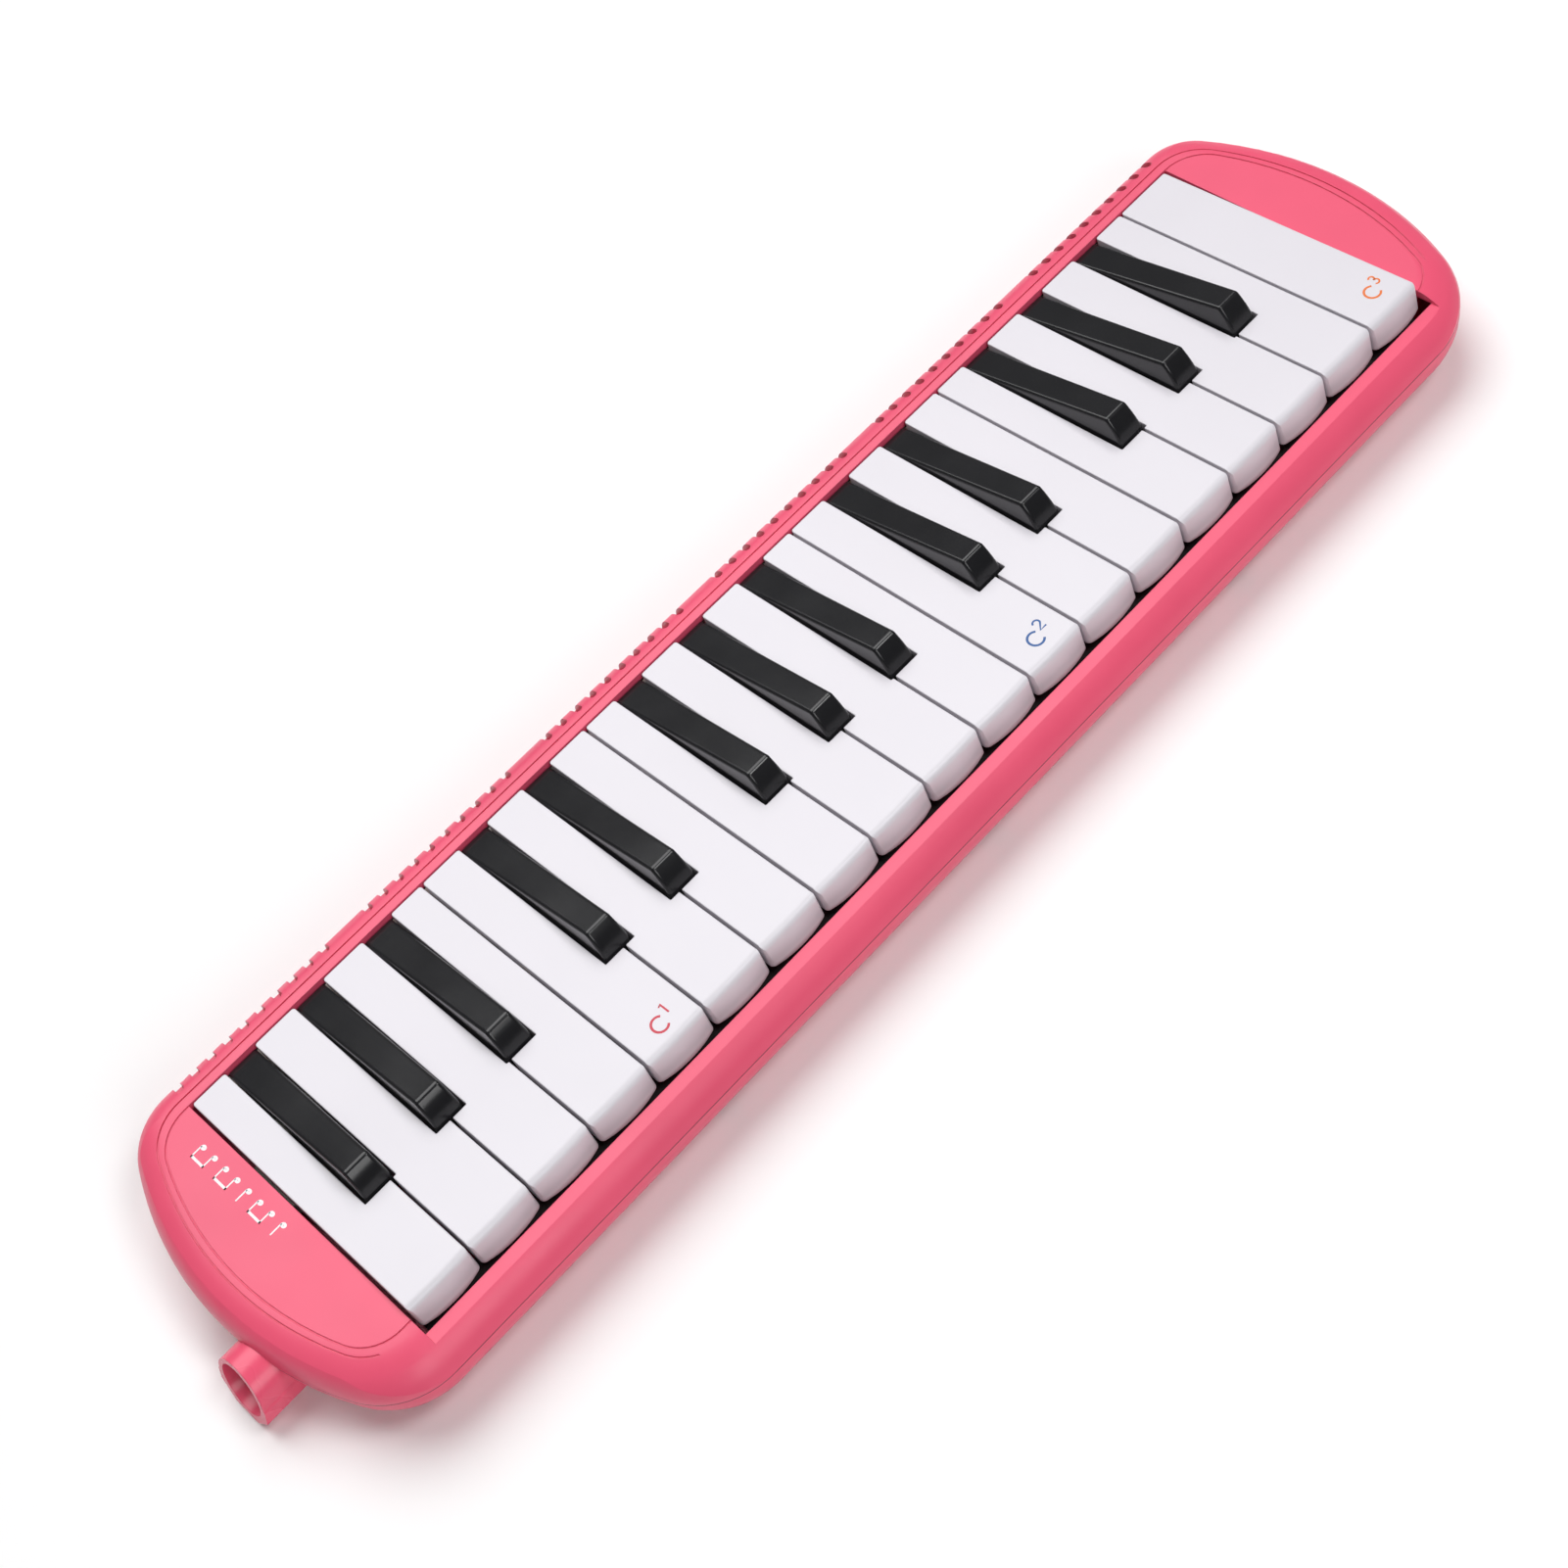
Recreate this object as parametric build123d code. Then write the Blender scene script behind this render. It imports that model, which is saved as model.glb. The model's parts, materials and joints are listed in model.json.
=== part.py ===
from build123d import *
import os
from math import cos, radians, sin, sqrt

os.makedirs("parts", exist_ok=True)

# A 32-key melodica lying on its flat underside.
# X runs along the keyboard, low notes towards -X; Y runs from the player (-Y) to the vents (+Y).
# Z is up. Origin: middle of the keyboard and of the body's depth, on the plane the underside
# rests on. All sizes in millimetres.

# ---------------------------------------------------------------- driving sizes
WHITE_PITCH = 19.5
WHITE_COUNT = 19
KEY_GAP = 0.8
BODY_HEIGHT = 25.0            # underside to the flat end panels
BODY_FRONT = -54.9
BODY_REAR = 56.0
BASS_END = -216.1
TREBLE_END = 213.1
SEAM_Z = 16.3                 # parting plane between the two case halves
WALL = 2.4
TOP_ROUND = 8.0               # rounding of the upper edge of the case
LOW_ROUND = 16.0              # rounding of the lower edge of the case
END_RADIUS = 100.0            # bow of the two short ends
BASS_BOW_Y = 0.0              # where the bass end reaches out furthest
TREBLE_BOW_Y = 5.1
BODY_CORNERS = (22.8, 29.9, 19.1, 16.6)   # front bass, front treble, rear bass, rear treble
SLIP = 0.05                   # gap between assembled pieces that only touch

# keyboard opening in the top of the case
KEYBOARD_HALF = WHITE_PITCH * WHITE_COUNT / 2
OPENING_HALF = KEYBOARD_HALF + 0.5
OPENING_REAR = 45.2
RAIL_Z = BODY_HEIGHT - 2.3    # the front rail is lower than the end panels
RAIL_INNER = -46.0
RAIL_OUTER = -49.6
RAIL_WALL = 3.2
SLOPE_RADIUS = 14.1           # long front edge: large rounding that meets the rail's outer line
SLOPE_FRONT = -56.0           # where that rounding would stand upright
SLOPE_FADE = 4.5              # it fades out this far beyond the short ends
SLOPE_CORNERS = (26.0, 33.0, 30.0, 30.0)        # its own corners, in the order of BODY_CORNERS

# key levers turn on one rod under the keys; white tops slope up towards the player
PIVOT_Y = 24.0
PIVOT_Z = 19.0
ROD_RADIUS = 1.0
BORE_RADIUS = ROD_RADIUS + 0.05
KEY_SLOPE = 2.4               # degrees
WHITE_TOP = 6.87              # height of the white tops above the rod, before the slope is applied
WHITE_FRONT = -66.05          # front edge of the white tops, from the rod
WHITE_REAR = 20.43
WHITE_FACE = 8.3              # height of the white front face
FACE_LEAN = 0.6               # the foot of the front face stands this far forward at its corners
FOOT_BOW = 1.5                # and this much more in the middle
WHITE_CORNER = 1.5
WHITE_NOSE = 2.2              # rounding of the front top edge
NOTCH_GAP = 1.0               # in front of a black key
NOTCH_ROUND = 0.3
REAR_ROUND = 0.8
KEY_WALL = 1.4
KEY_EDGE = 0.28
KEY_ROOF = 2.0
SLOT_WIDTH = 9.9              # slot between white keys that a black key fills

# black keys: wedge higher at the player's side
BLACK_FOOT_WIDTH = 9.4
BLACK_TOP_WIDTH = 7.7
BLACK_FRONT = -12.1
BLACK_RIDGE = -7.4
BLACK_RIDGE_Z = BODY_HEIGHT + 9.6
BLACK_REAR_Z = BODY_HEIGHT - 1.5
BLACK_FOOT_Z = 27.4
BLACK_SKIRT_Z = 22.0
BLACK_BULGE = 0.45            # of the sloping front, beyond a straight slope
BLACK_RIDGE_ROUND = 1.3
BLACK_FOOT_ROUND = 1.6
BLACK_EDGE = 0.9

# lever under each key, with its felt valve pad at the tail
LEVER_WIDTH = 6.4
LEVER_FRONT = 15.0
LEVER_REAR = 50.2
LEVER_BOTTOM = 17.2
LEVER_TOP = 19.6
HUB_RADIUS = 2.7
WEB_THICK = 2.0
PAD_LENGTH = 8.4
PAD_Y = 45.8

# sound box
BLOCK_FRONT = 2.0
BLOCK_REAR = 50.5
BLOCK_BOTTOM = 10.0
BLOCK_TOP = 15.6
BLOCK_HALF = 184.0
POST_HALF = 0.9               # half the thickness of a rod post between two levers
END_POST = 1.0                # thickness of the two outermost rod posts
TRAY_FRONT = 9.0
TRAY_REAR = 42.0
TRAY_BOTTOM = 4.0
TRAY_TOP = 9.4
TRAY_HALF = 183.0
TRAY_WALL = 1.5
PLATE_THICK = 1.2
CELL_WIDTH = 6.2
CELL_ROOF = 13.8

# mouthpiece socket at the bass end
SOCKET_Y = -14.2
SOCKET_Z = BODY_HEIGHT - 14.5
SOCKET_RADIUS = 8.75
SOCKET_BORE = 7.3             # where a mouthpiece plugs in
SOCKET_SHOULDER = -208.5      # the bore narrows here
AIR_BORE = 6.2
SOCKET_RIM = -223.2
SOCKET_STEP = -207.0
SOCKET_SLANT = 16.7           # degrees the mouth is cut back at the top
SPIGOT_RADIUS = 7.2

# box duct between the socket and the tray
DUCT_BASS = -200.0
DUCT_TREBLE = -186.5
NECK_TREBLE = -184.1
DUCT_FRONT = -25.0
DUCT_REAR = 30.0
DUCT_BOTTOM = 2.5
DUCT_TOP = 19.6
DUCT_RING = 0.5               # room for the rubber ring around the spigot
WINDOW = (14.0, 28.0, 6.0, 8.6)   # y0, y1, z0, z1 of the passage from duct to tray

# screws
SCREW_RADIUS = 1.3
SCREW_HEAD = 2.4
BOSS_RADIUS = 3.2
SMALL_SCREW = 0.9
SMALL_HEAD = 1.6
HOLE_SLIP = 0.1
THREAD_SLIP = 0.02
END_SCREWS = [(-192, 40), (-193, -39), (192, 40), (189.4, -35.5), (199, 0)]
FRONT_SCREWS = [(x, RAIL_OUTER) for x in (-97.5, 0, 97.5)]
CASE_SCREWS = END_SCREWS + FRONT_SCREWS
BLOCK_SCREWS_X = [-165, -99, -33, 33, 99, 165]
BLOCK_SCREW_Y = 5.0

# stop under the fronts of the white keys, and the felts
STOP_TOP = 13.6
STOP_FRONT = -44.5
STOP_REAR = -36.7
STOP_WALL = 1.8
FELT_THICK = 1.95

# reeds
REED_FOOT_Y = 12.2
REED_ROOT_Y = 15.4
REED_THICK = 0.3
LONGEST_REED = 22.0
REED_STEP = 0.978             # each reed is this much shorter than the one before
PLATE_Z = BLOCK_BOTTOM - SLIP - PLATE_THICK
PLATE_HALF = 180.5

# spring strip under the levers
STRIP_THICK = 0.3
STRIP_SCREW_Y = 10.3

# drain valve on the underside
DRAIN_X = 140.0
DRAIN_Y = 25.0
DRAIN_HEAD_RADIUS = 5.0
DRAIN_STEM = 1.8
DRAIN_HEAD_Z = 0.5
DRAIN_HEAD_THICK = 1.2

# sounding order of the keyboard: it starts on F, and True marks a white key with a black key to its right
OCTAVE_FROM_F = [True, True, True, False, True, True, False]
# black keys sit off the white boundary by these amounts: F#, G#, A#, then C#, D#
BLACK_SHIFT = {0: -3.5, 1: 0.0, 2: 3.8, 4: -1.5, 5: 1.6}


# ---------------------------------------------------------------- small helpers
def block(x0, x1, y0, y1, z0, z1):
    """Rectangular block between two corners."""
    return Pos((x0 + x1) / 2, (y0 + y1) / 2, (z0 + z1) / 2) * Box(x1 - x0, y1 - y0, z1 - z0)


def upright(radius, x, y, z0, z1):
    """Cylinder standing along Z."""
    return Pos(x, y, (z0 + z1) / 2) * Cylinder(radius, z1 - z0)


def along_x(radius, y, z, x0, x1):
    """Cylinder lying along X."""
    return Pos((x0 + x1) / 2, y, z) * Rot(0, 90, 0) * Cylinder(radius, x1 - x0)


def side_profile(points, x0, x1):
    """Closed (y, z) outline extruded from x0 to x1."""
    wire = Polyline(*[(x0, y, z) for y, z in points], close=True)
    return extrude(make_face(wire), amount=x1 - x0, dir=(1, 0, 0))


def save(node, *solids):
    """Write one sub-part; a group of like pieces becomes one compound of separate solids."""
    pieces = [solid for shape in solids for solid in shape.solids()]
    shape = pieces[0] if len(pieces) == 1 else Compound(children=pieces)
    shape.label = node
    export_step(shape, f"parts/{node}.step")


# ---------------------------------------------------------------- layout of the 32 notes
def boundary(index):
    """X of the line between white key number index and the next one."""
    return index * WHITE_PITCH - KEYBOARD_HALF


def black_after(index):
    """X of the black key to the right of white key index (0 = lowest), or None."""
    step = index % 7
    if index >= WHITE_COUNT - 1 or not OCTAVE_FROM_F[step]:
        return None
    return boundary(index + 1) + BLACK_SHIFT[step]


def white_rear_edges(index):
    """Left and right X of the narrow rear part of a white key."""
    left_black = black_after(index - 1) if index > 0 else None
    right_black = black_after(index)
    left = boundary(index) + KEY_GAP / 2 if left_black is None else left_black + SLOT_WIDTH / 2
    right = boundary(index + 1) - KEY_GAP / 2 if right_black is None else right_black - SLOT_WIDTH / 2
    return left, right


WHITE_LEVERS = [sum(white_rear_edges(i)) / 2 for i in range(WHITE_COUNT)]
BLACK_LEVERS = [black_after(i) for i in range(WHITE_COUNT) if black_after(i) is not None]
LEVERS = sorted(WHITE_LEVERS + BLACK_LEVERS)
LEVER_GAPS = [(a + b) / 2 for a, b in zip(LEVERS, LEVERS[1:])]
PLATE_SPLIT = LEVER_GAPS[15]
PLATE_SCREWS = [(LEVER_GAPS[i], y) for i in (0, 5, 10, 14, 16, 20, 25, 30) for y in (13.2, 37.4)]
STRIP_SCREWS_X = [LEVER_GAPS[i] for i in (1, 8, 15, 22, 29)]


# ---------------------------------------------------------------- case
def plan_face(bass, treble, front, rear, radius, corners):
    """Plan outline: straight front and rear, bowed ends, rounded corners."""
    def bass_x(y):
        return bass + radius - sqrt(radius**2 - (y - BASS_BOW_Y)**2)

    def treble_x(y):
        return treble - radius + sqrt(radius**2 - (y - TREBLE_BOW_Y)**2)

    front_bass = (bass_x(front), front)
    front_treble = (treble_x(front), front)
    rear_bass = (bass_x(rear), rear)
    rear_treble = (treble_x(rear), rear)
    face = make_face([
        Line(rear_bass, rear_treble),
        ThreePointArc(rear_treble, (treble, TREBLE_BOW_Y), front_treble),
        Line(front_treble, front_bass),
        ThreePointArc(front_bass, (bass, BASS_BOW_Y), rear_bass),
    ])
    for point, corner in zip((front_bass, front_treble, rear_bass, rear_treble), corners):
        vertex = face.vertices().sort_by_distance(point)[0]
        face = fillet(vertex, corner)
    return face


def body_face(inset):
    """Plan outline of the whole body, moved inwards by inset."""
    return plan_face(
        BASS_END + inset, TREBLE_END - inset, BODY_FRONT + inset, BODY_REAR - inset,
        END_RADIUS - inset, [corner - inset for corner in BODY_CORNERS],
    )


def hull(inset):
    """Rounded body, moved inwards on every side by inset."""
    solid = extrude(Pos(0, 0, inset) * body_face(inset), amount=BODY_HEIGHT - 2 * inset)
    solid = fillet(solid.edges().group_by(Axis.Z)[-1], TOP_ROUND - inset)
    return fillet(solid.edges().group_by(Axis.Z)[0], LOW_ROUND - inset)


def rail_stock(inset):
    """Front rail moved inwards by inset: flat strip, rounded outer edge, body outline below."""
    solid = extrude(Pos(0, 0, SEAM_Z) * body_face(inset), amount=RAIL_Z - inset - SEAM_Z)
    solid = fillet(solid.edges().group_by(Axis.Z)[-1], RAIL_OUTER - BODY_FRONT - inset)
    return solid & block(BASS_END, TREBLE_END, BODY_FRONT - 1, RAIL_INNER, SEAM_Z, RAIL_Z)


def soft_front():
    """Stock with the large rounding along the front edge, clear of the case on the other sides."""
    face = plan_face(
        BASS_END - SLOPE_FADE, TREBLE_END + SLOPE_FADE, SLOPE_FRONT, BODY_REAR + 2 * SLOPE_FADE,
        END_RADIUS, SLOPE_CORNERS,
    )
    solid = extrude(face, amount=BODY_HEIGHT)
    return fillet(solid.edges().group_by(Axis.Z)[-1], SLOPE_RADIUS)


def panel_line(inset_face, width, depth):
    """Shallow groove that follows the edge of inset_face on the flat top."""
    ring = inset_face - offset(inset_face, -width, kind=Kind.INTERSECTION)
    return extrude(Pos(0, 0, BODY_HEIGHT - depth) * ring, amount=depth + 1)


def vent_slots():
    """Six groups of ten air slots over the rounded rear edge."""
    slot_width = 2.3
    slot_pitch = 5.46
    group_pitch = 64.1
    slot_end = 51.2
    slot_floor = SEAM_Z + 2.0
    cutters = []
    for group in range(6):
        for slot in range(10):
            x = (group - 2.5) * group_pitch + (slot - 4.5) * slot_pitch + 0.5
            cutters.append(block(x - slot_width / 2, x + slot_width / 2, slot_end, 60, slot_floor, 30))
            cutters.append(upright(slot_width / 2, x, slot_end, slot_floor, 30))
    return cutters


def socket_outline():
    """Round tube above, squared foot with bevelled corners below, seen along X."""
    flat = 4.3
    side = SOCKET_RADIUS + 0.4
    foot = Polyline(
        (-SOCKET_RADIUS + 0.5, 1.4), (-side, -0.2), (-side, -flat), (-flat, -SOCKET_RADIUS),
        (flat, -SOCKET_RADIUS), (side, -flat), (side, -0.2), (SOCKET_RADIUS - 0.5, 1.4), close=True,
    )
    return Circle(SOCKET_RADIUS) + make_face(foot)


def socket_stock(x0, x1, outline):
    """A socket cross-section carried from x0 to x1."""
    plane = Plane(origin=(x0, SOCKET_Y, SOCKET_Z), x_dir=(0, 1, 0), z_dir=(1, 0, 0))
    return extrude(plane * outline, amount=x1 - x0)


def socket_clearance():
    """Room that the case halves leave for the socket."""
    mouth = socket_stock(SOCKET_RIM - 10, SOCKET_STEP + SLIP, offset(socket_outline(), SLIP))
    return mouth + along_x(SPIGOT_RADIUS + SLIP, SOCKET_Y, SOCKET_Z, SOCKET_STEP - 1, DUCT_BASS)


def case_boss(x, y, z0, z1):
    """Post that a case screw runs through."""
    return upright(BOSS_RADIUS, x, y, z0, z1)


def screw_floor(y):
    """Height of the screw head seat: deeper where the underside is already rounded up."""
    return 3.0 if y > BODY_FRONT + LOW_ROUND - 1 else 8.0


def make_top_case():
    """Upper half: end panels, rear rail with vents, lower front rail, keyboard opening."""
    shell = (hull(0) & block(-240, 240, -70, 70, SEAM_Z, 40)) - hull(WALL)
    shell -= block(-OPENING_HALF, OPENING_HALF, BODY_FRONT - 1, OPENING_REAR, SEAM_Z - 1, 40)
    shell += rail_stock(0) - rail_stock(RAIL_WALL)
    outer_line = plan_face(-208.3, 205.3, -44.6, 48.1, END_RADIUS, (14, 14, 14.5, 14.5))
    shell -= panel_line(outer_line, 0.4, 0.5) - block(-196, 196, -70, 0, 0, 40)
    inner_line = plan_face(-206.3, 203.3, -42.2, OPENING_REAR, END_RADIUS, (12.5, 12.5, 13, 13))
    shell -= panel_line(inner_line, 0.4, 0.3) - block(-OPENING_HALF, OPENING_HALF, -70, 70, 0, 40)
    for cutter in vent_slots():
        shell -= cutter
    shell -= socket_clearance()
    for x, y in CASE_SCREWS:
        top = RAIL_Z - WALL / 2 if (x, y) in FRONT_SCREWS else BODY_HEIGHT - WALL / 2
        shell += case_boss(x, y, SEAM_Z, top) & hull(WALL / 2)
        shell -= upright(SCREW_RADIUS + THREAD_SLIP, x, y, SEAM_Z - 1, SEAM_Z + 3.6)
    return shell & soft_front()


def make_bottom_case():
    """Lower half: rounded tub with posts for screws, sound box and key stop."""
    outer = hull(0) & block(-240, 240, -70, 70, -1, SEAM_Z - SLIP)
    shell = outer - hull(WALL)
    inside = hull(WALL / 2)
    for y in (STOP_FRONT, STOP_REAR - STOP_WALL):
        shell += block(-KEYBOARD_HALF, KEYBOARD_HALF, y, y + STOP_WALL, WALL / 2, STOP_TOP) & inside
    shell += block(-KEYBOARD_HALF, KEYBOARD_HALF, STOP_FRONT, STOP_REAR, STOP_TOP - STOP_WALL, STOP_TOP)
    for x in BLOCK_SCREWS_X:
        shell += upright(BOSS_RADIUS, x, BLOCK_SCREW_Y, WALL / 2, BLOCK_BOTTOM - SLIP)
        shell -= upright(SCREW_RADIUS + THREAD_SLIP, x, BLOCK_SCREW_Y, BLOCK_BOTTOM - 5, BLOCK_BOTTOM + 1)
        shell += block(x - 1, x + 1, TRAY_FRONT + 4, TRAY_REAR - 4, WALL / 2, TRAY_BOTTOM - SLIP)
    for x, y in CASE_SCREWS:
        seat = screw_floor(y)
        shell += case_boss(x, y, WALL / 2, SEAM_Z - SLIP) & inside
        shell -= upright(SCREW_RADIUS + HOLE_SLIP, x, y, seat - 1, SEAM_Z + 1)
        shell -= upright(SCREW_HEAD + 0.2, x, y, -1, seat)
    shell -= upright(DRAIN_HEAD_RADIUS + 0.3, DRAIN_X, DRAIN_Y, -1, WALL + 1)
    shell -= socket_clearance()
    return shell


def make_case_screws():
    """Pan-head screws put in from the underside."""
    screws = []
    for x, y in CASE_SCREWS:
        seat = screw_floor(y)
        head = upright(SCREW_HEAD, x, y, seat - 1.8, seat)
        head = fillet(head.edges().group_by(Axis.Z)[0], 0.7)
        cross = block(x - 0.3, x + 0.3, y - 1.4, y + 1.4, seat - 3, seat - 1.0)
        cross += block(x - 1.4, x + 1.4, y - 0.3, y + 0.3, seat - 3, seat - 1.0)
        screws.append(head + upright(SCREW_RADIUS, x, y, seat, SEAM_Z + 3.4) - cross)
    return screws


def make_socket():
    """Mouthpiece socket: slanted mouth outside, spigot into the air duct inside."""
    body = socket_stock(SOCKET_RIM - 8, SOCKET_STEP, socket_outline())
    spigot_end = DUCT_BASS + TRAY_WALL - SLIP
    body += along_x(SPIGOT_RADIUS, SOCKET_Y, SOCKET_Z, SOCKET_STEP, spigot_end)
    mouth = Pos(SOCKET_RIM, SOCKET_Y, SOCKET_Z) * Rot(0, SOCKET_SLANT, 0) * Pos(-20, 0, 0) * Box(40, 60, 60)
    body -= mouth
    body -= along_x(SOCKET_BORE, SOCKET_Y, SOCKET_Z, SOCKET_RIM - 20, SOCKET_SHOULDER)
    body -= along_x(AIR_BORE, SOCKET_Y, SOCKET_Z, SOCKET_SHOULDER - 1, spigot_end + 1)
    return body


# ---------------------------------------------------------------- sound box
def make_duct():
    """Box duct that carries the breath from the socket to the end of the tray."""
    gap = WALL + 0.2
    outer = block(DUCT_BASS, DUCT_TREBLE, DUCT_FRONT, DUCT_REAR, DUCT_BOTTOM, DUCT_TOP)
    outer = fillet(outer.edges().filter_by(Axis.Z), 3.0) & hull(gap)
    inner = block(DUCT_BASS + TRAY_WALL, DUCT_TREBLE - TRAY_WALL, DUCT_FRONT + TRAY_WALL,
                  DUCT_REAR - TRAY_WALL, DUCT_BOTTOM + TRAY_WALL, DUCT_TOP - TRAY_WALL)
    inner = inner & hull(gap + TRAY_WALL)
    y0, y1, z0, z1 = WINDOW
    neck = block(DUCT_TREBLE - 1, NECK_TREBLE, y0 - 1.2, y1 + 1.2, z0 - 1.2, z1 + 0.7)
    collar_radius = SPIGOT_RADIUS + DUCT_RING
    collar = along_x(collar_radius, SOCKET_Y, SOCKET_Z, DUCT_BASS - 1, DUCT_BASS + TRAY_WALL + 0.1)
    passage = block(DUCT_TREBLE - TRAY_WALL - 1, NECK_TREBLE + 1, y0, y1, z0, z1)
    return outer + neck - inner - collar - passage


def make_duct_seal():
    """Foam ring between duct and tray."""
    y0, y1, z0, z1 = WINDOW
    x0 = NECK_TREBLE + SLIP
    x1 = -TRAY_HALF - SLIP
    return block(x0, x1, y0 - 1.2, y1 + 1.2, z0 - 1.2, z1 + 0.7) - block(x0 - 1, x1 + 1, y0, y1, z0, z1)


def make_socket_ring():
    """Rubber ring around the socket spigot, in the wall of the duct."""
    radius = SPIGOT_RADIUS + DUCT_RING - SLIP
    outer = along_x(radius, SOCKET_Y, SOCKET_Z, DUCT_BASS + 0.1, DUCT_BASS + TRAY_WALL)
    return outer - along_x(SPIGOT_RADIUS + SLIP, SOCKET_Y, SOCKET_Z, DUCT_BASS - 1, DUCT_BASS + 3)


def make_tray():
    """Pressurised air tray under the reed plates."""
    outer = block(-TRAY_HALF, TRAY_HALF, TRAY_FRONT, TRAY_REAR, TRAY_BOTTOM, TRAY_TOP)
    outer = fillet(outer.edges().filter_by(Axis.Z), 2.0)
    inner = block(-TRAY_HALF + TRAY_WALL, TRAY_HALF - TRAY_WALL, TRAY_FRONT + TRAY_WALL,
                  TRAY_REAR - TRAY_WALL, TRAY_BOTTOM + TRAY_WALL, TRAY_TOP + 1)
    y0, y1, z0, z1 = WINDOW
    tray = outer - inner - block(-TRAY_HALF - 1, -TRAY_HALF + 3, y0, y1, z0, z1)
    tray -= upright(DRAIN_STEM + 0.05, DRAIN_X, DRAIN_Y, 0, 12)
    for turn in range(3):
        angle = radians(120 * turn)
        tray -= upright(0.7, DRAIN_X + 2.5 * cos(angle), DRAIN_Y + 2.5 * sin(angle), 0, 12)
    return tray


def make_gasket():
    """Flat gasket between tray and reed block."""
    z0 = TRAY_TOP + SLIP
    z1 = BLOCK_BOTTOM - SLIP
    outer = block(-TRAY_HALF, TRAY_HALF, TRAY_FRONT, TRAY_REAR, z0, z1)
    return outer - block(-TRAY_HALF + TRAY_WALL, TRAY_HALF - TRAY_WALL, TRAY_FRONT + TRAY_WALL,
                         TRAY_REAR - TRAY_WALL, 0, 20)


def make_reed_block():
    """Block with one cell and one valve hole per note, and the posts that carry the key rod."""
    body = block(-BLOCK_HALF, BLOCK_HALF, BLOCK_FRONT, BLOCK_REAR, BLOCK_BOTTOM, BLOCK_TOP)
    spans = [(x - POST_HALF, x + POST_HALF) for x in LEVER_GAPS]
    spans += [(-BLOCK_HALF, -BLOCK_HALF + END_POST), (BLOCK_HALF - END_POST, BLOCK_HALF)]
    for x0, x1 in spans:
        post = block(x0, x1, PIVOT_Y - 3.5, PIVOT_Y + 3.5, BLOCK_TOP, PIVOT_Z + 2.2)
        body += fillet(post.edges().filter_by(Axis.X).group_by(Axis.Z)[-1], 1.5)
    body -= rod_bore()
    half = CELL_WIDTH / 2
    for x in LEVERS:
        body -= block(x - half, x + half, 12.0, 38.5, BLOCK_BOTTOM - 1, CELL_ROOF)
        body -= block(x - half, x + half, 38.0, 48.5, BLOCK_BOTTOM + 1.5, CELL_ROOF)
        body -= block(x - 2.0, x + 2.0, PAD_Y - 2.5, PAD_Y + 2.5, CELL_ROOF - 1, BLOCK_TOP + 1)
    for x in BLOCK_SCREWS_X:
        body -= upright(SCREW_RADIUS + HOLE_SLIP, x, BLOCK_SCREW_Y, 0, 30)
    for x, y in PLATE_SCREWS:
        body -= upright(SMALL_SCREW + THREAD_SLIP, x, y, BLOCK_BOTTOM - 1, BLOCK_BOTTOM + 3.2)
    for x in STRIP_SCREWS_X:
        body -= upright(SMALL_SCREW + THREAD_SLIP, x, STRIP_SCREW_Y, BLOCK_TOP - 3.2, BLOCK_TOP + 1)
    return body


def make_block_screws():
    """Screws that clamp the sound box to the bottom case."""
    screws = []
    for x in BLOCK_SCREWS_X:
        head = upright(SCREW_HEAD, x, BLOCK_SCREW_Y, BLOCK_TOP, BLOCK_TOP + 1.3)
        head = fillet(head.edges().group_by(Axis.Z)[-1], 0.6)
        screws.append(head + upright(SCREW_RADIUS, x, BLOCK_SCREW_Y, BLOCK_BOTTOM - 4.5, BLOCK_TOP))
    return screws


def reed_length(index):
    """Reeds shorten evenly from the lowest note to the highest."""
    return LONGEST_REED * REED_STEP**index


def make_reed_plate(x0, x1):
    """Brass plate with a slot under each reed."""
    plate = block(x0, x1, 11.6, 39.0, PLATE_Z, PLATE_Z + PLATE_THICK)
    for index, x in enumerate(LEVERS):
        if x0 < x < x1:
            slot_end = REED_ROOT_Y + 0.1 + reed_length(index)
            plate -= block(x - 1.2, x + 1.2, REED_ROOT_Y + 0.1, slot_end, PLATE_Z - 1, PLATE_Z + 3)
    for x, y in PLATE_SCREWS:
        if x0 < x < x1:
            plate -= upright(SMALL_SCREW + HOLE_SLIP, x, y, PLATE_Z - 1, PLATE_Z + 3)
    return plate


def make_reeds():
    """One tongue per note, fixed at its front end under the plate."""
    reeds = []
    for index, x in enumerate(LEVERS):
        foot = block(x - 1.7, x + 1.7, REED_FOOT_Y, REED_ROOT_Y, PLATE_Z - REED_THICK, PLATE_Z)
        tip = REED_ROOT_Y - 0.3 + reed_length(index)
        tongue = block(x - 1.0, x + 1.0, REED_ROOT_Y - 0.1, tip, PLATE_Z - REED_THICK, PLATE_Z - SLIP)
        reeds.append(foot + tongue)
    return reeds


def make_reed_rivets():
    """Rivet heads that hold the reeds to the plate."""
    rivets = []
    y = (REED_FOOT_Y + REED_ROOT_Y) / 2
    for x in LEVERS:
        head = upright(0.8, x, y, PLATE_Z - REED_THICK - 0.45, PLATE_Z - REED_THICK)
        rivets.append(fillet(head.edges().group_by(Axis.Z)[0], 0.25))
    return rivets


def make_plate_screws():
    """Small screws that hold the reed plates to the block."""
    screws = []
    for x, y in PLATE_SCREWS:
        head = upright(SMALL_HEAD, x, y, PLATE_Z - 0.8, PLATE_Z)
        screws.append(head + upright(SMALL_SCREW, x, y, PLATE_Z, BLOCK_BOTTOM + 3.0))
    return screws


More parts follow.
